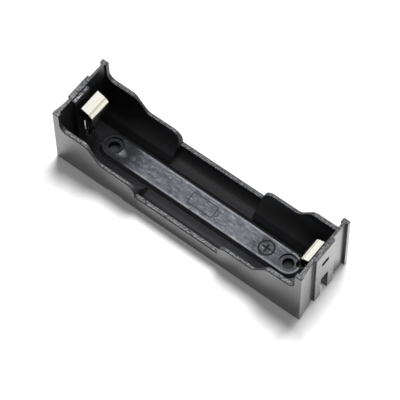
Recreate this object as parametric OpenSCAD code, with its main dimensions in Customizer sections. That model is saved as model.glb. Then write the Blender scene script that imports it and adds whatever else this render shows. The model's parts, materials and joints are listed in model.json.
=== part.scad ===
// Holder for one cylindrical cell: a moulded open trough whose side walls step down to a low
// middle, with a nickel-plated leaf contact standing at each end.
// Millimetres, +Z up. The origin is at the middle of the underside, +X points to the plus end.

/* [Cell] */
// Diameter of the cell that the holder takes
cell_d = 18.5; // [17:0.1:20]
// Length of the cell over its two poles
cell_l = 65.1; // [60:0.1:70]
// Play around the cell in its cradle
cell_play = 0.15; // [0.05:0.05:0.4]
// How far the cell bends the two leaves back between them
squeeze = 0.55; // [0.2:0.05:1.5]

/* [Walls] */
// Side wall at the waist, where the cradle is widest
waist_t = 0.85; // [0.7:0.05:2]
// Side wall along the low middle
sill_t = 1.3; // [1:0.1:2]
// End wall over its raised panel
end_t = 1.75; // [1.5:0.05:3]
// Height of the rim above a seated cell
rim_rise = 0.4; // [0:0.1:2]
// How far each side face leans in from base to rim
side_draft = 0.15; // [0:0.05:0.3]
// How far each end face leans in from base to rim
end_draft = 0.2; // [0:0.05:0.3]

/* [Side profile] */
// Height of the snap walls beside the posts
snap_z = 14.8; // [13:0.1:17]
// Height of the shoulders on both sides of the low middle
shoulder_z = 9.9; // [8:0.1:12]
// Height of the sill, the low middle of the side walls
sill_z = 5.9; // [4.5:0.1:7]
// Length of the sill
sill_l = 26.3; // [16:0.1:34]
// Rounding where a shoulder drops to the sill
drop_r = 3; // [1:0.1:3.5]
// Length of a shoulder, from the sill to the foot of the ramp
shoulder_l = 11.05; // [8:0.1:12]
// Length of the ramp from shoulder to snap wall
ramp_l = 4.05; // [2:0.1:5]
// Rounding at the head and foot of a ramp
ramp_r = 2.4; // [0.5:0.1:3]
// Length of the corner posts
post_l = 2.25; // [2:0.05:4]
// Rounding at the foot of a post
post_r = 2.2; // [0.5:0.1:3]

/* [End walls] */
// Width of the raised panel
panel_w = 7.8; // [6:0.1:12]
// Width of the side walls' ends beside the recesses
fin_t = 1.3; // [0.8:0.1:2]
// Depth of the recesses beside the panel
recess_d = 0.75; // [0.4:0.05:1.2]
// Depth to which the front recesses run out at the corner
recess_out = 0.15; // [0.05:0.05:0.7]
// Width of the tail notch
notch_w = 2.9; // [2:0.1:4.5]
// Height of the tail notch
notch_h = 8.5; // [4:0.1:11]
// Room that the notch leaves in front of the solder tail
notch_room = 0.5; // [0.3:0.1:1.5]
// Width of the latch slot
slot_w = 2.6; // [1.5:0.1:2.8]
// Height of the latch slot
slot_h = 1.1; // [0.8:0.1:2]
// Height of the latch slot's middle above the base
slot_z = 15.9; // [14:0.1:17]
// Thickness of the pad behind the minus contact
pad_t = 0.9; // [0.5:0.1:2]
// Width of the pad
pad_w = 5.8; // [4:0.1:8]
// Place of the pad's middle across the holder
pad_y = -1.2; // [-1.2:0.1:1.2]
// Height of the pad above the base
pad_z = 20.7; // [18:0.1:21]

/* [Floor] */
// Height of the strip that the cell rests on
rest_z = 2.5; // [2.2:0.1:4]
// Width of the strip
rest_w = 6.3; // [5.4:0.1:8]
// Depth of the grooves beside the strip
groove_d = 0.9; // [0.4:0.1:1]
// Run of a groove's outer slope
groove_run = 1.2; // [0.8:0.1:1.6]
// Height of the floor beside the grooves in the low middle
trough_z = 2; // [1.8:0.1:3]
// Rounding from that floor into the side walls
trough_r = 4; // [2:0.1:4.2]
// Thickness of the floor over the hollows of the underside
floor_t = 1.2; // [0.8:0.1:1.6]
// Thickness of the ribs between those hollows
rib_t = 1.3; // [0.8:0.1:2]
// Length of the finger relief in the foot of the side wall
relief_l = 4.7; // [2:0.1:8]
// Height of that relief
relief_h = 0.5; // [0.2:0.1:1]
// Place of that relief along the holder
relief_x = -19.6; // [-24:0.1:-10]

/* [Screw holes] */
// Distance between the two screw holes
screw_pitch = 55.8; // [50:0.1:57]
// Bore for the screw
screw_d = 3.1; // [2:0.1:3.4]
// Diameter of the counterbore
sink_d = 5.1; // [4:0.1:5.6]
// Depth of the counterbore
sink_h = 0.6; // [0.3:0.1:1]
// Margin of solid base around the counterbore
boss_margin = 1.2; // [0.8:0.1:2]
// Diameter of the wire hole beside the plus end's screw hole
wire_d = 2.3; // [1.5:0.1:2.6]
// Wall left between the wire hole and the screw bore
wire_gap = 0.35; // [0.3:0.05:0.8]
// Direction of the wire hole, seen from the screw hole
wire_turn = 30; // [0:1:35]

/* [Contacts] */
// Thickness of the contact strip
strip_t = 0.4; // [0.3:0.05:0.6]
// Width of the leaf's head
leaf_w = 6.6; // [5:0.1:7.5]
// Width of the leaf's leg and of the back plate
leg_w = 2.6; // [2.4:0.1:6]
// Height where the leg begins to widen
neck_z = 9; // [7:0.1:11]
// Rise in which the leg widens to the head
neck_l = 3; // [1.5:0.1:4]
// Rounding where the leg widens
neck_r = 1; // [0.2:0.1:1.2]
// Width of the solder tail
tail_w = 1.2; // [0.8:0.1:1.6]
// Height of the tail's tip above the base
tail_z = 0.6; // [0.2:0.1:1.5]
// Reach of the plus leaf from its seat
reach_plus = 3.95; // [3.4:0.05:5]
// Reach of the minus leaf from its seat
reach_minus = 4.7; // [3.4:0.05:5.5]
// Height of the leaf's root bend
root_z = 5.2; // [4.4:0.1:8]
// Radius of the root bend along the middle of the strip
root_r = 0.8; // [0.5:0.1:1.2]
// Height of the nose that presses on the cell
nose_z = 15.2; // [13:0.1:16]
// Radius of the nose, which the head curves round, along the middle of the strip
nose_r = 2.2; // [0.5:0.1:2.4]
// Slope of the head's straight end
head_slope = 20; // [15:1:50]
// Gap between the leaf's free end and its seat
head_gap = 1.1; // [0.9:0.1:2]
// Height of the back plate
back_z = 17.8; // [17:0.1:19]
// Rounding of the back plate's upper corners
back_r = 0.5; // [0.2:0.1:1.2]
// How far the latch stands out into its slot
latch_out = 0.4; // [0.3:0.1:1.2]
// Clearance all round the latch in its slot
latch_play = 0.2; // [0.1:0.05:0.4]

/* [Hidden] */
$fn = 96;
arc_steps = 8; // straight steps in each rounded corner of an outline
past = 1; // how far a cut runs past the face that it opens

cradle_r = cell_d / 2 + cell_play;
axis_z = rest_z + cell_d / 2;
body_w = 2 * (cradle_r + waist_t);
body_h = rest_z + cell_d + rim_rise;
bay_l = cell_l - squeeze + reach_plus + reach_minus + pad_t;
body_l = bay_l + 2 * end_t;
end_x = body_l / 2;
wall_x = bay_l / 2; // inner face of each end wall
lip_y = sqrt(pow(cradle_r, 2) - pow(snap_z - axis_z, 2)); // half the mouth between the snap walls
groove_y = rest_w / 2 + groove_d; // bottom of each groove
bore_x = screw_pitch / 2;
boss_l = sink_d + 2 * boss_margin;
wire_run = (screw_d + wire_d) / 2 + wire_gap; // from the screw hole's axis to the wire hole's

// Unit vector along v
function unit(v) = v / norm(v);

// Points of a corner at b, coming from a and going to c, rounded with radius r
function corner(a, b, c, r) =
    let (
        u = unit(a - b),
        v = unit(c - b),
        half = acos(u * v) / 2,
        middle = b + unit(u + v) * r / sin(half),
        from = b + u * r / tan(half) - middle,
        side = cross(from, u) > 0 ? -1 : 1,
        sweep = side * (180 - 2 * half)
    )
    r == 0 ? [b] : [
        for (i = [0:arc_steps])
            let (t = sweep * i / arc_steps)
                middle + [from.x * cos(t) - from.y * sin(t), from.x * sin(t) + from.y * cos(t)]
    ];

// Outline through corners given as [x, y, radius]
function rounded(path) = [
    for (i = [0:len(path) - 1])
        let (
            a = path[(i + len(path) - 1) % len(path)],
            b = path[i],
            c = path[(i + 1) % len(path)]
        )
        each corner([a.x, a.y], [b.x, b.y], [c.x, c.y], b[2])
];

// The same list of [x, y, radius] seen in a mirror, in the order that closes the outline
function mirrored(path) = [for (i = [len(path) - 1:-1:0]) [-path[i].x, path[i].y, path[i][2]]];

// Lays a drawing of X and Z down as a bar of this width along Y, about its middle
module along_y(width) {
    translate([0, width / 2, 0])
        rotate([90, 0, 0])
            linear_extrude(width)
                children();
}

// Lays a drawing of Y and Z down as a bar along X from one place to another
module along_x(from, to) {
    translate([from, 0, 0])
        rotate([90, 0, 90])
            linear_extrude(to - from)
                children();
}

module both_ends() {
    children();
    mirror([1, 0, 0])
        children();
}

module both_sides() {
    children();
    mirror([0, 1, 0])
        children();
}

// Side view of the housing: posts, snap walls, ramps, shoulders and sill
module side_outline() {
    shoulder_x = sill_l / 2 + shoulder_l;
    half = [
        [sill_l / 2, sill_z, 0],
        [sill_l / 2, shoulder_z, drop_r],
        [shoulder_x, shoulder_z, ramp_r],
        [shoulder_x + ramp_l, snap_z, ramp_r],
        [end_x - post_l, snap_z, post_r],
        [end_x - post_l, body_h, 0],
        [end_x - end_draft, body_h, 0],
        [end_x, 0, 0]
    ];
    polygon(rounded(concat(half, mirrored(half))));
}

// End view of the housing's outside, with the draft of its side faces
module end_outline() {
    polygon([
        [-body_w / 2, 0],
        [body_w / 2, 0],
        [body_w / 2 - side_draft, body_h],
        [side_draft - body_w / 2, body_h]
    ]);
}

// Half of the V groove beside the resting strip, open upward into the cradle
module groove_outline() {
    top = axis_z - cradle_r / 2;
    polygon([
        [0, rest_z],
        [rest_w / 2, rest_z],
        [groove_y, rest_z - groove_d],
        [groove_y + groove_run, axis_z - sqrt(pow(cradle_r, 2) - pow(groove_y + groove_run, 2))],
        [groove_y + groove_run, top],
        [0, top]
    ]);
}

// End view of the cradle that wraps the cell, open upward between the snap walls
module cradle_outline() {
    difference() {
        union() {
            translate([0, axis_z])
                circle(cradle_r);
            translate([-lip_y, axis_z])
                square([2 * lip_y, body_h - axis_z + past]);
        }
        translate([-rest_w / 2, 0])
            square([rest_w, rest_z]);
    }
    groove_outline();
    mirror([1, 0])
        groove_outline();
}

// Lowers the floor between the resting strip and the end wall, round the strip's half-round end
module end_floor() {
    difference() {
        translate([bore_x, -groove_y, rest_z - groove_d])
            cube([wall_x - bore_x, 2 * groove_y, groove_d + past]);
        translate([bore_x, 0, rest_z - groove_d])
            cylinder(r1 = groove_y, r2 = rest_w / 2, h = groove_d);
    }
}

// End view of the wider trough between the sills, on one side of the strip
module trough_outline() {
    half_w = body_w / 2 - sill_t;
    polygon(rounded([
        [groove_y, trough_z, 0],
        [half_w, trough_z, trough_r],
        [half_w, body_h + past, 0],
        [groove_y, body_h + past, 0]
    ]));
}

// Plan of the two recesses beside the panel, measured from the end face. The one on the front
// side grows shallower toward its corner.
module recess_outline() {
    outer_y = body_w / 2 - fin_t;
    polygon([
        [past, -outer_y],
        [-recess_out, -outer_y],
        [-recess_d, -panel_w / 2],
        [past, -panel_w / 2]
    ]);
    translate([-recess_d, panel_w / 2])
        square([recess_d + past, outer_y - panel_w / 2]);
}

// Cuts one end, where the contact's seat is this far from the middle: the recesses beside the
// panel, the notch that the tail hangs in and the slot of the latch
module end_cuts(seat_x) {
    translate([end_x, 0, 0])
        rotate([0, -atan(end_draft / body_h), 0])
            translate([0, 0, -past])
                linear_extrude(body_h + 2 * past)
                    recess_outline();
    notch_x = seat_x - strip_t - notch_room;
    translate([notch_x, -notch_w / 2, -past])
        cube([end_x + past - notch_x, notch_w, notch_h + past]);
    translate([seat_x - past, -slot_w / 2, slot_z - slot_h / 2])
        cube([end_x - seat_x + 2 * past, slot_w, slot_h]);
}

// Screw hole with its flat counterbore
module screw_hole() {
    translate([bore_x, 0, -past])
        cylinder(d = screw_d, h = rest_z + 2 * past);
    translate([bore_x, 0, rest_z - sink_h])
        cylinder(d = sink_d, h = sink_h + past);
}

// Hole that takes a wire down beside the plus end's screw hole
module wire_hole() {
    translate([bore_x + wire_run * cos(wire_turn), wire_run * sin(wire_turn), -past])
        cylinder(d = wire_d, h = rest_z + 2 * past);
}

// Hollows of the underside: a long one below the strip, two on each side below the cradle
module underside_hollows() {
    keel_l = screw_pitch - boss_l;
    translate([-keel_l / 2, -rest_w / 2, -past])
        cube([keel_l, rest_w, rest_z - floor_t + past]);
    first = sill_l / 2 + rib_t;
    last = wall_x - rib_t;
    cell_run = (last - first - rib_t) / 2;
    inner_y = groove_y + groove_run;
    outer_y = body_w / 2 - side_draft - sill_t;
    for (start = [first, first + cell_run + rib_t])
        along_x(start, start + cell_run)
            difference() {
                translate([inner_y, -past])
                    square([outer_y - inner_y, axis_z]);
                translate([0, axis_z])
                    circle(cradle_r + floor_t);
            }
}

module housing() {
    color("dimgray")
        difference() {
            union() {
                difference() {
                    intersection() {
                        along_y(body_w)
                            side_outline();
                        along_x(-end_x, end_x)
                            end_outline();
                    }
                    along_x(-wall_x, wall_x)
                        cradle_outline();
                    both_sides()
                        along_x(-sill_l / 2, sill_l / 2)
                            trough_outline();
                    both_ends()
                        end_floor();
                }
                translate([-wall_x, pad_y - pad_w / 2, rest_z - groove_d])
                    cube([pad_t, pad_w, pad_z + groove_d - rest_z]);
            }
            end_cuts(wall_x);
            mirror([1, 0, 0])
                end_cuts(wall_x - pad_t);
            wire_hole();
            both_ends() {
                screw_hole();
                both_sides()
                    underside_hollows();
            }
            translate([relief_x - relief_l / 2, -body_w / 2 - past, -past])
                cube([relief_l, sill_t + past, relief_h + past]);
        }
}

// One side of the bent strip, set off from its middle line by this much
function strip_side(off, reach) =
    let (
        root = [strip_t / 2 + root_r, root_z],
        nose = [reach - strip_t / 2 - nose_r, nose_z],
        span = nose - root,
        lean = atan2(span.x, span.y) - asin((root_r - nose_r) / norm(span)),
        head = nose + (nose_r + off) * [sin(head_slope), cos(head_slope)],
        head_l = (nose.x + nose_r * sin(head_slope) - head_gap) / cos(head_slope)
    )
    concat(
        [[strip_t / 2 - off, back_z]],
        [for (i = [0:arc_steps]) let (t = 180 + (180 - lean) * i / arc_steps)
            root + (root_r + off) * [cos(t), sin(t)]],
        [for (i = [0:arc_steps]) let (t = -lean + (90 - head_slope + lean) * i / arc_steps)
            nose + (nose_r + off) * [cos(t), sin(t)]],
        [head + head_l * [-cos(head_slope), sin(head_slope)]]
    );

// Side view of the strip: back plate, root bend, leaf, nose and free end
module strip_outline(reach) {
    inner = strip_side(-strip_t / 2, reach);
    polygon(concat(
        strip_side(strip_t / 2, reach),
        [for (i = [len(inner) - 1:-1:0]) inner[i]]
    ));
}

// Front view of the back plate, with its rounded upper corners
module back_outline() {
    polygon(rounded([
        [-leg_w / 2, 0, 0],
        [leg_w / 2, 0, 0],
        [leg_w / 2, back_z, back_r],
        [-leg_w / 2, back_z, back_r]
    ]));
}

// Front view of the leaf, whose narrow leg widens to the head
module leaf_outline() {
    half = [
        [leg_w / 2, 0, 0],
        [leg_w / 2, neck_z, neck_r],
        [leaf_w / 2, neck_z + neck_l, neck_r],
        [leaf_w / 2, body_h, 0]
    ];
    polygon(rounded(concat(half, mirrored(half))));
}

// A leaf contact whose back plate stands on the plane x = 0 and whose leaf reaches along +X
module contact(reach) {
    split_x = 1.5 * strip_t; // between the back plate and the free end of the leaf
    color("silver") {
        difference() {
            intersection() {
                along_y(leaf_w)
                    strip_outline(reach);
                union() {
                    along_x(0, split_x)
                        back_outline();
                    along_x(split_x, reach)
                        leaf_outline();
                }
            }
            // the tail is cut free of the root bend
            translate([-past, -tail_w / 2 - latch_play, 0])
                cube([reach, tail_w + 2 * latch_play, root_z + root_r]);
        }
        translate([0, -tail_w / 2, tail_z])
            cube([strip_t, tail_w, root_z + 2 * root_r - tail_z]);
        // latch: a tongue that springs out into the end wall's slot
        along_y(slot_w - 2 * latch_play)
            polygon([
                [0, slot_z - slot_h / 2 + latch_play],
                [0, slot_z + slot_h / 2 - latch_play],
                [-latch_out, slot_z + slot_h / 2 - latch_play]
            ]);
    }
}

module plus_contact() {
    translate([wall_x, 0, 0])
        mirror([1, 0, 0])
            contact(reach_plus);
}

module minus_contact() {
    translate([pad_t - wall_x, 0, 0])
        contact(reach_minus);
}

housing();
plus_contact();
minus_contact();
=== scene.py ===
"""Dresses the cell holder: rounds its edges, engraves its marks, finishes and lights it."""

import json
import math
from types import SimpleNamespace

import bmesh
import bpy
from bpy.props import FloatProperty, FloatVectorProperty, PointerProperty
from mathutils import Matrix, Vector


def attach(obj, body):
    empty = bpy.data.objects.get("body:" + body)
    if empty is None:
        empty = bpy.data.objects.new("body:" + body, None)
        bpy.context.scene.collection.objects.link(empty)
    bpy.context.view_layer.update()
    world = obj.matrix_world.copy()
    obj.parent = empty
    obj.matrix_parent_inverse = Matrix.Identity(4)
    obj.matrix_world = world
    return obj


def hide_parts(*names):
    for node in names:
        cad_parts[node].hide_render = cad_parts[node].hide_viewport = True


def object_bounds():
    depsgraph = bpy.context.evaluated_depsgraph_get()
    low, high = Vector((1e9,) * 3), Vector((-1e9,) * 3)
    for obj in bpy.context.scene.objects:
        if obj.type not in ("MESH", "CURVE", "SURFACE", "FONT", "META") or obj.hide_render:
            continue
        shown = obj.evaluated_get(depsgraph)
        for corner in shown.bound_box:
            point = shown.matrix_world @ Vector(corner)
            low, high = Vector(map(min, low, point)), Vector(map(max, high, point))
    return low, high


bl_info = {
    "name": "Cell holder",
    "version": (1, 0, 0),
    "blender": (4, 5, 0),
    "location": "View3D > Sidebar > Cell holder",
    "description": "Dresses a moulded cell holder with its leaf contacts and sets its studio",
    "category": "Object",
}

MM = 0.001

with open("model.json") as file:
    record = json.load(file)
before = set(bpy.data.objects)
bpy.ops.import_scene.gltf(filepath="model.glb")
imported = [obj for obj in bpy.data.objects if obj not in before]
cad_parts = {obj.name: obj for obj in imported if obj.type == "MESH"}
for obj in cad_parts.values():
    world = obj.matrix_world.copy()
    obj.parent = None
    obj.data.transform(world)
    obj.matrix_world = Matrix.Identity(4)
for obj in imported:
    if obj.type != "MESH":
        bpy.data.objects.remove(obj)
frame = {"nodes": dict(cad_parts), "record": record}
cad_low, cad_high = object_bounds()
middle = (Vector(cad_low) + Vector(cad_high)) / 2
mounts = {mount["name"]: Vector(mount["pos_m"]) for mount in frame["record"]["mounts"]}

# Places on the moulding in millimetres, from the middle of its underside
END_X = cad_high[0] / MM
SIDE_Y = cad_high[1] / MM
SCREW_X = mounts["screw_hole_plus"].x / MM
WIRE_X = mounts["wire_hole"].x / MM
SEAT_X = 36.9  # just short of the contacts' back plates
RIM_X = 36.0  # how far the side walls' own rims reach
RECESS_X = END_X - 0.9  # floor of the recesses in the end walls
RECESS_Y = 8.9  # side of those recesses
STRIP_TOP = 2.5  # top of the strip that the cell rests on
STRIP_HALF = 3.25  # half of that strip's width
SINK_DEPTH = 0.6  # seat of a screw's head below the strip
SINK_R = 2.55
HOLE_R = 1.55
HOLLOW_Y = 7.0  # runs through the underside's hollows
RIMS_Z = 5.5  # nothing below this is a rim
SLOT_Z = 15.9  # middle of the latch slots
PLUS_MARK_X = 21.1
CELL_MARK_X = 0.9

# Colours that no setting changes
BLACK = (0.0, 0.0, 0.0, 1.0)
WHITE = (1.0, 1.0, 1.0, 1.0)
# painted shade: black that takes no light, in and round the latch slots
SLOT_SHADE_BLACK = (0.002, 0.002, 0.002, 1.0)
GROUND_TOOTH = (0.8, 0.8, 0.8, 1.0)
# painted shade: the dark ground under the holder, seen up its holes
UNDER_HOLDER_SHADE = (0.03, 0.03, 0.035, 1.0)

# Painted light: how many times more the ground glows past the plus end, to the camera and in
# reflections, lightening the shade there; and how faintly the ground under the holder glows to the
# camera, up the screw holes
END_GLOW = 3.0
UNDER_GLOW = 0.012

# The studio: the key light's place and width in metres, and which way the dark flag hangs
KEY_PLACE = (-0.10, 0.295, 0.80)
KEY_SIZE = 0.36
GROUND_SIZE = 3.0
FLAG = (-0.30, 0.37, 0.88)

# An edge that turns more than the first is rounded, and one that turns less than the second is flat
SHARP_TURN = math.radians(28)
FLAT_TURN = math.radians(0.6)

# Share of the full rounding that inner edges and the thinnest webs have room for
INNER_SHARE = 0.35
CRISP_SHARE = 0.2

# Lengths that count as nothing: between doubled points, off a cut, and of a sliver's side
DOUBLED = 0.002 * MM
OFF_CUT = 0.003 * MM
SLIVER = 0.0005 * MM


# ---------------------------------------------------------------- shader maths


class Mix:
    """A material or world being mixed: it adds nodes, and gives their outputs as signals."""

    def __init__(self, owner):
        owner.use_nodes = True
        self.tree = owner.node_tree
        self.tree.nodes.clear()

    def node(self, kind, settings=None, sockets=None, output=0):
        """Adds a node: settings go on it first, then values or links into its sockets."""
        made = self.tree.nodes.new(kind)
        for name, value in (settings or {}).items():
            setattr(made, name, value)
        for name, value in (sockets or {}).items():
            if isinstance(value, Signal):
                self.tree.links.new(value.socket, made.inputs[name])
            else:
                made.inputs[name].default_value = value
        return Signal(self, made.outputs[output]) if made.outputs else None


class Signal:
    """One output socket, which sums and products of numbers can be written with."""

    def __init__(self, mix, socket):
        self.mix = mix
        self.socket = socket

    def maths(self, operation, first, second=0.0):
        return self.mix.node("ShaderNodeMath", {"operation": operation}, {0: first, 1: second})

    def __add__(self, other):
        return self.maths("ADD", self, other)

    def __radd__(self, other):
        return self.maths("ADD", other, self)

    def __sub__(self, other):
        return self.maths("SUBTRACT", self, other)

    def __rsub__(self, other):
        return self.maths("SUBTRACT", other, self)

    def __mul__(self, other):
        return self.maths("MULTIPLY", self, other)

    def __rmul__(self, other):
        return self.maths("MULTIPLY", other, self)

    def __pow__(self, power):
        return self.maths("POWER", self, power)

    def __abs__(self):
        return self.maths("ABSOLUTE", self)

    def __gt__(self, other):
        return self.maths("GREATER_THAN", self, other)

    def __lt__(self, other):
        return self.maths("LESS_THAN", self, other)

    def at_least(self, floor):
        return self.maths("MAXIMUM", self, floor)

    def at_most(self, ceiling):
        return self.maths("MINIMUM", self, ceiling)

    def ramp(self, low, high):
        """0 below low, 1 above high and a smooth rise between them."""
        sockets = {"Value": self, "From Min": low, "From Max": high}
        return self.mix.node("ShaderNodeMapRange", {"interpolation_type": "SMOOTHSTEP"}, sockets)

    def between(self, low, high):
        """This share of the way from one number to another."""
        return self * (high - low) + low


def blend_colors(mix, share, first, second):
    """A colour this share of the way from the first to the second."""
    settings = {"data_type": "RGBA"}
    return mix.node("ShaderNodeMix", settings, {0: share, 6: first, 7: second}, output=2)


def place_in_mm(mix):
    """The point being shaded, in millimetres of the holder's own frame."""
    spot = mix.node("ShaderNodeTexCoord", output="Object")
    return mix.node("ShaderNodeVectorMath", {"operation": "SCALE"}, {0: spot, "Scale": 1 / MM})


def stretched(mix, place, factors):
    """The same place with each axis drawn out or in."""
    return mix.node("ShaderNodeVectorMath", {"operation": "MULTIPLY"}, {0: place, 1: factors})


def axes_of(mix, place):
    """X, Y and Z of a place as three signals."""
    return [
        mix.node("ShaderNodeSeparateXYZ", sockets={0: place}, output=axis)
        for axis in range(3)
    ]


def noise(mix, place, scale, detail=3.0, roughness=0.55):
    """Cloudy noise between 0 and 1, with this many clouds to a millimetre."""
    sockets = {"Vector": place, "Scale": scale, "Detail": detail, "Roughness": roughness}
    return mix.node("ShaderNodeTexNoise", sockets=sockets)


def rgba(color):
    """A setting's colour as a colour socket takes it."""
    return (*color[:3], 1.0)


# ---------------------------------------------------------------- finishes


def distance(x, y):
    """How far a point is from where both numbers are 0."""
    return (x * x + y * y) ** 0.5


def line(off, width):
    """1 on a drawn line and 0 beside it, from the distance to its middle."""
    return 1 - abs(off).ramp(0.3 * width, 0.7 * width)


def ring_mark(x, y, radius, width):
    """A drawn circle."""
    return line(distance(x, y) - radius, width)


def bar_mark(x, y, half_x, half_y, blur=0.07):
    """A filled bar."""
    along = 1 - abs(x).ramp(half_x - blur, half_x + blur)
    across = 1 - abs(y).ramp(half_y - blur, half_y + blur)
    return along * across


def box_mark(x, y, half_x, half_y, corner, width):
    """The drawn outline of a box with rounded corners."""
    out_x = abs(x) - (half_x - corner)
    out_y = abs(y) - (half_y - corner)
    inside = out_x.at_least(out_y).at_most(0.0)
    return line(distance(out_x.at_least(0.0), out_y.at_least(0.0)) + inside - corner, width)


def engraved_marks(x, y):
    """Depth of the signs cut in the strip: a plus in a ring, and the outline of a cell."""
    plus_x = x - PLUS_MARK_X
    cell_x = x - CELL_MARK_X
    arm = 1.25
    thick = 0.27
    plus = bar_mark(plus_x, y, arm, thick).at_least(bar_mark(plus_x, y, thick, arm))
    ring = ring_mark(plus_x, y, radius=2.05, width=0.42)
    cell = box_mark(cell_x, y, half_x=3.9, half_y=1.75, corner=0.6, width=0.26)
    button = box_mark(cell_x - 4.35, y, half_x=0.45, half_y=0.8, corner=0.25, width=0.26)
    return plus.at_least(ring).at_least(cell.at_least(button) * 0.7)


def plastic_zones(x, y, z, across, up):
    """Where each finish of the moulding lies, from a place and the Y and Z of its normal."""
    end_x = abs(x)
    side_y = abs(y)
    from_screw = distance(end_x - SCREW_X, y)
    from_strip = distance((end_x - SCREW_X).at_least(0.0), y)
    level = up.ramp(0.75, 0.95)
    plus_end = x.ramp(SCREW_X - 1.0, SCREW_X + 3.5)

    strip = level * (abs(z - STRIP_TOP) < 0.3)
    strip = strip * (1 - from_strip.ramp(STRIP_HALF - 0.15, STRIP_HALF + 0.15))
    sink = level * (abs(z - STRIP_TOP + SINK_DEPTH) < 0.25) * (from_screw < SINK_R + 0.15)
    lowered = level * (z < STRIP_TOP - 0.2) * plus_end
    lowered = lowered * (end_x < SEAT_X + 0.6) * (from_screw > HOLE_R + 0.15)
    # painted shade: the latch slots and a thin margin round them
    slot_shade = (end_x > SEAT_X) * (side_y < 1.38) * (abs(z - SLOT_Z) < 0.85)
    ramps = (abs(across) < 0.3) * (end_x < RIM_X) * (side_y > 8.0)
    rims = up.ramp(0.88, 0.985).at_least(ramps) * z.ramp(RIMS_Z - 0.5, RIMS_Z)
    rims = rims * (1 - slot_shade) * (side_y < SIDE_Y - 0.32)
    recess_side = (end_x > RECESS_X) * (side_y < RECESS_Y + 0.5) * abs(across).ramp(0.4, 0.7)
    outside = (side_y > SIDE_Y - 0.17).at_least(end_x > END_X - 0.95)
    return SimpleNamespace(
        from_strip=from_strip,
        strip=strip,
        rims=rims,
        slot_shade=slot_shade,
        outside=outside * (1 - slot_shade.at_least(recess_side)),
        eroded=strip.at_least(sink).at_least(lowered).at_least(rims),
    )


def strip_tone(mix, settings, place, zones, grain, mottle):
    """The resting strip's greys, with painted shade at the minus end, smeared scuffs and rubbed
    edges.
    """
    x, y, _ = axes_of(mix, place)
    strip = zones.strip
    smears = noise(mix, stretched(mix, place, (0.45, 1.0, 1.0)), 1.3, detail=6.0, roughness=0.7)
    rubs = noise(mix, stretched(mix, place, (0.25, 2.4, 1.0)), 2.2, detail=5.0, roughness=0.65)
    # painted shade: the strip darkens towards its minus end, with more dark patches and fainter
    # scuffs there; it also darkens from 18 mm to 27 mm towards the plus end
    lit = x.ramp(-24.0, -17.0)
    along = x.ramp(-23.5, -16.0) * 0.78 + x.ramp(-5.0, 14.0) * 0.22 - x.ramp(18.0, 27.0) * 0.5

    round_mark = 1 - distance(x - PLUS_MARK_X + 0.8, y).ramp(2.0, 4.6)
    patches = mottle.ramp(0.35, 0.7) * lit.between(0.9, 0.5) + round_mark * 0.4
    tone = blend_colors(mix, along, rgba(settings.strip_dark), rgba(settings.strip_pale))
    tone = blend_colors(mix, patches, tone, rgba(settings.plastic))

    scuffs = smears.ramp(0.5, 0.68) * grain.ramp(0.4, 0.62) * strip.between(0.45, 1.0)
    scuffs = scuffs * lit.between(0.15, 1.0)
    thin_rubs = strip * rubs.ramp(0.56, 0.66) * lit.between(0.1, 0.55)
    edges = strip * line(zones.from_strip - STRIP_HALF + 0.4, 0.5) * mottle.ramp(0.3, 0.5) * lit
    by_screw = 1 - distance((x + SCREW_X - 2.3) * 0.6, y + 0.6).ramp(0.4, 1.6)
    by_screw = strip * by_screw * grain.ramp(0.38, 0.56)
    worn = (scuffs + thin_rubs + edges * 0.5 + by_screw * 0.6).at_most(1.0) * settings.scuffing
    return blend_colors(mix, worn, tone, rgba(settings.scuff))


def rim_tone(mix, settings, place, up):
    """The rims' speckled greys, pale where level and on the near side, dark on the ramps."""
    x, y, z = axes_of(mix, place)
    speckle = noise(mix, place, 1.9, detail=5.0, roughness=0.75)
    # paler on level tops and along the near side, darker on the ramps and the far side
    near_side = (1 - y.ramp(-4.0, 4.0)) * up.ramp(0.6, 0.85)
    handled = up.ramp(0.85, 0.97) * 0.52 + near_side * 0.34 + 0.14
    pale = speckle.ramp(0.36, 0.66) * handled
    tone = blend_colors(mix, pale, rgba(settings.rim_dark), rgba(settings.rim_pale))

    # painted highlights: pale flecks along the top of the pad behind the minus contact
    pad_glints = (x < -35.9) * (x > -36.7) * z.ramp(20.2, 20.5)
    return blend_colors(mix, pad_glints * speckle.ramp(0.5, 0.6), tone, rgba(settings.scuff))


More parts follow.
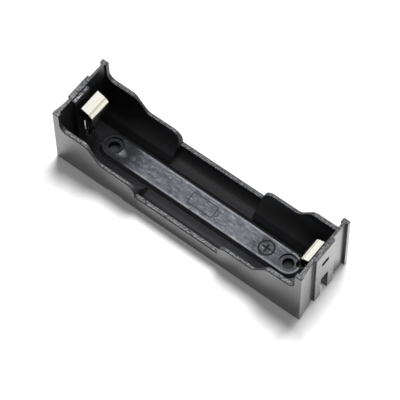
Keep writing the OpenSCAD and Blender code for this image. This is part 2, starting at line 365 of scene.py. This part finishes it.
def plastic(settings):
    """Black moulded plastic: polished in the cradle, spark-eroded and scuffed on strip and rims,
    with painted shade in and round the latch slots and at the strip's minus end.
    """
    material = bpy.data.materials.new("black_plastic")
    mix = Mix(material)
    place = place_in_mm(mix)
    x, y, z = axes_of(mix, place)
    normal = mix.node("ShaderNodeNewGeometry", output="Normal")
    _, across, up = axes_of(mix, normal)
    zones = plastic_zones(x, y, z, across, up)
    marks = zones.strip * engraved_marks(x, y)
    grain = noise(mix, place, 4.2, detail=4.0, roughness=0.7)
    mottle = noise(mix, stretched(mix, place, (0.6, 1.0, 1.0)), 0.9, detail=4.0)

    polished = blend_colors(mix, mottle, rgba(settings.plastic), rgba(settings.plastic_worn))
    matt = strip_tone(mix, settings, place, zones, grain, mottle)
    matt = blend_colors(mix, zones.rims, matt, rim_tone(mix, settings, place, up))
    color = blend_colors(mix, zones.eroded, polished, matt)
    color = blend_colors(mix, (marks * 1.1).at_most(1.0), color, rgba(settings.plastic))
    # painted shade: black in and round the latch slots
    color = blend_colors(mix, zones.slot_shade, color, SLOT_SHADE_BLACK)

    dull_and_shade = zones.eroded.at_least(zones.slot_shade)
    rough = dull_and_shade.between(settings.gloss, settings.erosion) + grain * 0.06
    relief = grain * zones.eroded.between(0.1, 1.0) - marks * 2.0
    bump = mix.node(
        "ShaderNodeBump",
        sockets={"Strength": 0.7, "Distance": settings.grain, "Height": relief},
    )
    shader = mix.node(
        "ShaderNodeBsdfPrincipled",
        sockets={
            "Base Color": color,
            "Roughness": rough,
            # the slots' painted shade is metallic black, so it shows no light
            "Metallic": zones.slot_shade,
            "Normal": bump,
            "IOR": 1.5,
            "Coat Weight": zones.outside * (1 - zones.eroded),
            "Coat Roughness": 0.24,
            "Coat IOR": 1.53,
        },
    )
    mix.node("ShaderNodeOutputMaterial", sockets={"Surface": shader})
    return material


def nickel(settings):
    """Bright nickel plating with the fine lines that rolling leaves along the strip's width, and
    painted shade at the bends, low on the minus leaf, on the legs, on the back plates and along the
    plus leaf's nose.
    """
    material = bpy.data.materials.new("nickel_plating")
    mix = Mix(material)
    place = place_in_mm(mix)
    x, _, z = axes_of(mix, place)
    normal = mix.node("ShaderNodeNewGeometry", output="Normal")
    up = axes_of(mix, normal)[2]
    lines = noise(mix, stretched(mix, place, (6.0, 0.12, 6.0)), 1.0, detail=3.0, roughness=0.7)
    clouds = noise(mix, place, 0.6, detail=2.0)

    # painted shade: a darker band where the leaf bends, and on the minus leaf darker the lower it
    # lies
    bend_shade = line(up - 0.8, 0.16) * 0.8
    low_leaf_shade = (x < 0.0) * (1 - z.ramp(14.8, 17.8)) * 0.9
    dull_and_shade = (bend_shade + low_leaf_shade + lines.ramp(0.42, 0.32) * 0.5).at_most(1.0)
    shade = blend_colors(mix, dull_and_shade, rgba(settings.nickel), rgba(settings.nickel_dull_and_shade))

    # painted shade, near black: along the plus leaf's nose, down both legs and on both back plates
    nose_line = (x > 0.0) * line(up - 0.62, 0.12) * 0.75
    back_plates = (x > SEAT_X - 0.4).at_least(x < 1.3 - SEAT_X)
    nickel_shade = back_plates.at_least(1 - z.ramp(8.0, 12.0)).at_least(nose_line)
    shade = blend_colors(mix, nickel_shade, shade, rgba(settings.nickel_shade))
    rough = clouds.between(0.14, 0.26) + lines * 0.08
    bump = mix.node(
        "ShaderNodeBump", sockets={"Strength": 0.3, "Distance": 0.03 * MM, "Height": lines}
    )
    shader = mix.node(
        "ShaderNodeBsdfPrincipled",
        sockets={"Base Color": shade, "Metallic": 1.0, "Roughness": rough, "Normal": bump},
    )
    mix.node("ShaderNodeOutputMaterial", sockets={"Surface": shader})
    return material


def paper(settings):
    """The white ground: it takes the shadow, and shows as white to the camera and in reflections;
    under the holder it is painted dark as shade, and past the plus end it glows more as painted
    light.
    """
    material = bpy.data.materials.new("white_ground")
    mix = Mix(material)
    place = place_in_mm(mix)
    x, y, _ = axes_of(mix, place)
    tooth = noise(mix, place, 0.8)

    # what lies open past the ends and beside the walls, against what the holder covers, whose ground
    # is painted dark as shade
    open_ground = (x > END_X - 2.7).at_least(x < 0.8 - END_X).at_least(abs(y) > SIDE_Y - 0.3)
    shade = blend_colors(mix, tooth * 0.02, rgba(settings.ground), GROUND_TOOTH)
    tone = blend_colors(mix, open_ground, UNDER_HOLDER_SHADE, shade)
    diffuse = mix.node("ShaderNodeBsdfDiffuse", sockets={"Color": tone})

    seen = mix.node("ShaderNodeLightPath", output="Is Camera Ray")
    mirrored = mix.node("ShaderNodeLightPath", output="Is Glossy Ray")
    # painted light: the ground glows more past the plus end, to the camera and in reflections, and
    # faintly under the holder to the camera
    past_end = x.ramp(END_X - 2.0, END_X + 1.0).between(1.0, END_GLOW)
    lift = (seen + mirrored) * open_ground * past_end * settings.ground_lift
    lift = lift + (1 - open_ground) * seen * UNDER_GLOW
    lifted = blend_colors(mix, lift, BLACK, WHITE)
    glow = mix.node("ShaderNodeEmission", sockets={"Color": lifted, "Strength": 1.0})
    both = mix.node("ShaderNodeAddShader", sockets={0: diffuse, 1: glow})
    mix.node("ShaderNodeOutputMaterial", sockets={"Surface": both})
    return material


# ---------------------------------------------------------------- shaping


def whole_faces(mesh_data, cuts):
    """A node's mesh with its doubled points merged and the triangles of each flat face joined.

    The cuts are planes, given as an axis and a place on it, that run through every hole in a
    flat face, because one polygon can't go round a hole.
    """
    shape = bmesh.new()
    shape.from_mesh(mesh_data)
    bmesh.ops.remove_doubles(shape, verts=shape.verts, dist=DOUBLED)
    for axis, place in cuts:
        bmesh.ops.bisect_plane(
            shape,
            geom=[*shape.verts, *shape.edges, *shape.faces],
            dist=DOUBLED / 2,
            plane_co=[place * MM if axis == i else 0.0 for i in range(3)],
            plane_no=[1.0 if axis == i else 0.0 for i in range(3)],
        )
    bmesh.ops.dissolve_limit(
        shape,
        angle_limit=FLAT_TURN,
        verts=shape.verts,
        edges=[edge for edge in shape.edges if not on_a_cut(edge, cuts)],
        use_dissolve_boundaries=False,
    )
    return shape


def on_a_cut(edge, cuts):
    """Whether an edge lies in one of the planes that the flat faces are cut by."""
    return any(
        all(abs(vert.co[axis] - place * MM) < OFF_CUT for vert in edge.verts)
        for axis, place in cuts
    )


def is_crisp(edge):
    """Whether an edge lies in the thin web beside the wire hole or at a latch slot."""
    hole = mounts["wire_hole"]
    near_hole = all(math.hypot(v.co.x - hole.x, v.co.y - hole.y) < 1.9 * MM for v in edge.verts)
    at_slot = all(
        abs(v.co.y) < 1.6 * MM and abs(v.co.z - SLOT_Z * MM) < 0.9 * MM for v in edge.verts
    )
    return near_hole or at_slot


def is_inner(edge):
    """Whether an edge is a fine one: inside the moulding, or at a recess that runs out."""
    inside = all(
        abs(v.co.y) < (SIDE_Y - 0.35) * MM and abs(v.co.x) < (END_X - 0.85) * MM
        for v in edge.verts
    )
    on_strip = all(
        abs(v.co.x) < 25.0 * MM
        and abs(v.co.y) < (STRIP_HALF + 0.05) * MM
        and v.co.z < (STRIP_TOP + 0.5) * MM
        for v in edge.verts
    )
    at_recess = all(
        abs(abs(v.co.y) - RECESS_Y * MM) < 0.2 * MM and abs(v.co.x) > (END_X - 0.8) * MM
        for v in edge.verts
    )
    return at_recess or (inside and not on_strip)


def round_edges(shape, radius, segments, chosen):
    """Rounds those of the sharp edges that are chosen."""
    sharp = [
        edge
        for edge in shape.edges
        if edge.is_manifold and edge.calc_face_angle(0) > SHARP_TURN and chosen(edge)
    ]
    bmesh.ops.bevel(
        shape,
        geom=sharp,
        offset=radius,
        offset_type="OFFSET",
        segments=segments,
        profile=0.5,
        affect="EDGES",
        clamp_overlap=False,
        miter_outer="ARC",
        miter_inner="SHARP",
        harden_normals=False,
        loop_slide=True,
    )


def broad_normals(shape, mesh_data):
    """Smooth normals that lean to the broadest face, so that flat faces stay flat."""
    normals = [Vector() for _ in shape.verts]
    for face in shape.faces:
        for vert in face.verts:
            normals[vert.index] += face.normal * face.calc_area()
    mesh_data.normals_split_custom_set_from_vertices([normal.normalized() for normal in normals])


def is_outer(edge):
    """Whether an edge is neither fine nor crisp."""
    return not (is_inner(edge) or is_crisp(edge))


def is_fine(edge):
    """Whether an edge is an inner one with room for its rounding."""
    return is_inner(edge) and not is_crisp(edge)


def dressed(node, name, radius, segments=3, cuts=()):
    """A copy of a CAD node with rounded edges, ready to stand for it."""
    shape = whole_faces(frame["nodes"][node].data, cuts)
    round_edges(shape, radius, segments, is_outer)
    round_edges(shape, radius * INNER_SHARE, 2, is_fine)
    round_edges(shape, radius * CRISP_SHARE, 2, is_crisp)
    bmesh.ops.dissolve_degenerate(shape, dist=SLIVER, edges=shape.edges)
    shape.verts.index_update()
    made = bpy.data.meshes.new(name)
    shape.to_mesh(made)
    made.shade_smooth()
    broad_normals(shape, made)
    shape.free()
    piece = bpy.data.objects.new(name, made)
    bpy.context.scene.collection.objects.link(piece)
    return piece


def finish_piece(piece, node, material):
    """Gives a piece its one material, and lets it stand for its node on the body."""
    piece.data.materials.clear()
    piece.data.materials.append(material)
    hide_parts(node)
    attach(piece, "root")


# ---------------------------------------------------------------- settings


class HousingSettings(bpy.types.PropertyGroup):
    """What a user would change on the moulding"""

    edge: FloatProperty(
        name="Edge radius",
        description="Rounding of the moulding's edges",
        default=0.2 * MM,
        unit="LENGTH",
    )
    plastic: FloatVectorProperty(
        name="Plastic",
        description="Black of the moulding",
        default=(0.010, 0.010, 0.011),
        subtype="COLOR",
    )
    plastic_worn: FloatVectorProperty(
        name="Handled plastic",
        description="Black where it is handled",
        default=(0.016, 0.016, 0.018),
        subtype="COLOR",
    )
    strip_dark: FloatVectorProperty(
        name="Strip, dark",
        description="Darker grey of the resting strip",
        default=(0.020, 0.022, 0.026),
        subtype="COLOR",
    )
    strip_pale: FloatVectorProperty(
        name="Strip, pale",
        description="Paler grey of the resting strip",
        default=(0.155, 0.166, 0.190),
        subtype="COLOR",
    )
    rim_dark: FloatVectorProperty(
        name="Rims, dark",
        description="Darker grey of the rims",
        default=(0.020, 0.021, 0.023),
        subtype="COLOR",
    )
    rim_pale: FloatVectorProperty(
        name="Rims, pale",
        description="Paler grey of the rims",
        default=(0.31, 0.315, 0.325),
        subtype="COLOR",
    )
    scuff: FloatVectorProperty(
        name="Scuffs",
        description="Colour of the scuffs",
        default=(0.52, 0.53, 0.55),
        subtype="COLOR",
    )
    scuffing: FloatProperty(
        name="Scuffing",
        description="How strongly the scuffs show",
        default=0.6,
    )
    gloss: FloatProperty(
        name="Polished roughness",
        description="Roughness of the polished faces",
        default=0.34,
    )
    erosion: FloatProperty(
        name="Eroded roughness",
        description="Roughness of the spark-eroded faces",
        default=0.62,
    )
    grain: FloatProperty(
        name="Grain depth",
        description="Depth of the eroded grain",
        default=0.06 * MM,
        unit="LENGTH",
    )


class ContactSettings(bpy.types.PropertyGroup):
    """What a user would change on the contacts"""

    edge: FloatProperty(
        name="Edge radius",
        description="Rounding of the strip's sheared edges",
        default=0.06 * MM,
        unit="LENGTH",
    )
    nickel: FloatVectorProperty(
        name="Nickel",
        description="Bright nickel",
        default=(0.975, 0.96, 0.87),
        subtype="COLOR",
    )
    # painted shade: near-black nickel for the legs, the back plates and the plus leaf's nose line
    nickel_shade: FloatVectorProperty(
        name="Shade",
        description="Dull nickel of the legs, the back plates and the nose line",
        default=(0.045, 0.042, 0.036),
        subtype="COLOR",
    )
    # also the colour of the painted shade band at the bends and low on the minus leaf
    nickel_dull_and_shade: FloatVectorProperty(
        name="Dull nickel",
        description="Nickel in the rolling lines and at the bends",
        default=(0.60, 0.575, 0.48),
        subtype="COLOR",
    )


class StageSettings(bpy.types.PropertyGroup):
    """What a user would change in the studio"""

    ground: FloatVectorProperty(
        name="Ground",
        description="Colour of the ground",
        default=(0.93, 0.93, 0.93),
        subtype="COLOR",
    )
    ground_lift: FloatProperty(
        name="Ground lift",
        description="What the camera sees on the ground above its own light",
        default=0.09,
    )
    azimuth: FloatProperty(
        name="Camera azimuth",
        description="Turn of the camera about the holder",
        default=math.radians(38.89),
        subtype="ANGLE",
    )
    elevation: FloatProperty(
        name="Camera elevation",
        description="Height of the camera",
        default=math.radians(61.50),
        subtype="ANGLE",
    )
    roll: FloatProperty(
        name="Camera roll",
        description="Lean of the picture",
        default=math.radians(-1.42),
        subtype="ANGLE",
    )
    distance: FloatProperty(
        name="Camera distance",
        description="From lens to aim",
        default=503.4 * MM,
        unit="LENGTH",
    )
    aim: FloatVectorProperty(
        name="Aim",
        description="Aim from the middle of the holder",
        default=(2.28 * MM, -2.78 * MM, 0.0),
        subtype="TRANSLATION",
    )
    lens: FloatProperty(
        name="Lens",
        description="Focal length in millimetres",
        default=181.58,
    )
    key: FloatProperty(
        name="Key light",
        description="Power of the key light",
        default=8.8,
    )
    dark_side: FloatProperty(
        name="Dark side",
        description="Brightness of the studio's open front in reflections",
        default=0.07,
    )
    flag: FloatProperty(
        name="Flag",
        description="Brightness of the flag overhead in reflections",
        default=0.16,
    )
    world: FloatProperty(
        name="Surround",
        description="Strength of the soft light from all round",
        default=0.17,
    )


# ---------------------------------------------------------------- operators


class CELLHOLDER_OT_housing(bpy.types.Operator):
    """Rounds the moulding's edges and gives it its black plastic"""

    bl_idname = "cellholder.housing"
    bl_label = "Moulded housing"

    def execute(self, context):
        settings = context.scene.cellholder_housing
        cuts = ((1, 0.0), (1, HOLLOW_Y), (1, -HOLLOW_Y), (0, WIRE_X))
        piece = dressed("housing", "moulded_housing", settings.edge, cuts=cuts)
        finish_piece(piece, "housing", plastic(settings))
        return {"FINISHED"}


class CELLHOLDER_OT_contacts(bpy.types.Operator):
    """Rounds the sheared edges of both leaf contacts and plates them with nickel"""

    bl_idname = "cellholder.contacts"
    bl_label = "Leaf contacts"

    def execute(self, context):
        settings = context.scene.cellholder_contacts
        plating = nickel(settings)
        for node in ("plus_contact", "minus_contact"):
            piece = dressed(node, node.replace("contact", "leaf"), settings.edge, segments=2)
            finish_piece(piece, node, plating)
        return {"FINISHED"}


class CELLHOLDER_OT_stage(bpy.types.Operator):
    """Lays the white ground and sets the lights, the surround and the camera"""

    bl_idname = "cellholder.stage"
    bl_label = "Studio"

    def execute(self, context):
        settings = context.scene.cellholder_stage
        scene = context.scene
        lay_ground(settings)
        hang_light(scene, "key_light", KEY_PLACE, KEY_SIZE, settings.key)
        fill_surround(scene, settings)
        set_camera(scene, settings)
        scene.view_settings.view_transform = "Standard"
        return {"FINISHED"}


def lay_ground(settings):
    """The white ground, level with the holder's underside."""
    place = (middle.x, middle.y, cad_low[2])
    bpy.ops.mesh.primitive_plane_add(size=GROUND_SIZE, location=place)
    ground = bpy.context.object
    ground.name = "ground"
    ground.data.materials.append(paper(settings))


def hang_light(scene, name, place, size, power):
    """An area lamp that looks at the middle of the holder."""
    lamp = bpy.data.lights.new(name, "AREA")
    lamp.shape = "DISK"
    lamp.size = size
    lamp.energy = power
    rig = bpy.data.objects.new(name, lamp)
    rig.location = middle + Vector(place)
    rig.rotation_euler = Vector(place).to_track_quat("Z", "Y").to_euler()
    rig.visible_glossy = False
    scene.collection.objects.link(rig)


def fill_surround(scene, settings):
    """Dim light from all round; in reflections, white walls with a dark front and a dark flag."""
    world = bpy.data.worlds.new("white_surround")
    scene.world = world
    mix = Mix(world)
    toward = mix.node("ShaderNodeTexCoord", output="Generated")
    _, side, _ = axes_of(mix, toward)
    front = side.ramp(-0.75, 0.1).between(settings.dark_side, 1.0)
    near_flag = mix.node(
        "ShaderNodeVectorMath", {"operation": "DOT_PRODUCT"}, {0: toward, 1: FLAG}, output=1
    )
    walls = front * near_flag.ramp(0.85, 0.98).between(1.0, settings.flag)
    seen = mix.node("ShaderNodeLightPath", output="Is Camera Ray")
    mirrored = mix.node("ShaderNodeLightPath", output="Is Glossy Ray")
    strength = seen + mirrored * walls + (1 - seen - mirrored) * settings.world
    light = mix.node("ShaderNodeBackground", sockets={"Color": WHITE, "Strength": strength})
    mix.node("ShaderNodeOutputWorld", sockets={"Surface": light})


def set_camera(scene, settings):
    """The camera, turned round the holder and leaned by the stated angles."""
    camera = bpy.data.cameras.new("camera")
    camera.sensor_width = 36.0
    camera.lens = settings.lens
    camera.clip_start = 0.01
    rig = bpy.data.objects.new("camera", camera)
    flat = math.cos(settings.elevation)
    back = Vector((
        math.sin(settings.azimuth) * flat,
        -math.cos(settings.azimuth) * flat,
        math.sin(settings.elevation),
    ))
    aim = middle + Vector(settings.aim)
    turn = back.to_track_quat("Z", "Y").to_matrix().to_4x4()
    lean = Matrix.Rotation(settings.roll, 4, "Z")
    rig.matrix_world = Matrix.Translation(aim + back * settings.distance) @ turn @ lean
    scene.collection.objects.link(rig)
    scene.camera = rig


class CELLHOLDER_PT_panel(bpy.types.Panel):
    """Lists the holder's pieces and its studio"""

    bl_idname = "CELLHOLDER_PT_panel"
    bl_label = "Cell holder"
    bl_space_type = "VIEW_3D"
    bl_region_type = "UI"
    bl_category = "Cell holder"

    def draw(self, context):
        for kind in OPERATORS:
            self.layout.operator(kind.bl_idname)
        for group in GROUPS:
            box = self.layout.box()
            settings = getattr(context.scene, group)
            for name in settings.__annotations__:
                box.prop(settings, name)


GROUPS = {
    "cellholder_housing": HousingSettings,
    "cellholder_contacts": ContactSettings,
    "cellholder_stage": StageSettings,
}
OPERATORS = (CELLHOLDER_OT_housing, CELLHOLDER_OT_contacts, CELLHOLDER_OT_stage)


def register():
    for kind in (*GROUPS.values(), *OPERATORS, CELLHOLDER_PT_panel):
        bpy.utils.register_class(kind)
    for name, kind in GROUPS.items():
        setattr(bpy.types.Scene, name, PointerProperty(type=kind))


def unregister():
    for name in GROUPS:
        delattr(bpy.types.Scene, name)
    for kind in reversed((*GROUPS.values(), *OPERATORS, CELLHOLDER_PT_panel)):
        bpy.utils.unregister_class(kind)


def main():
    register()
    bpy.ops.cellholder.housing()
    bpy.ops.cellholder.contacts()
    bpy.ops.cellholder.stage()


if __name__ == "__main__":
    main()
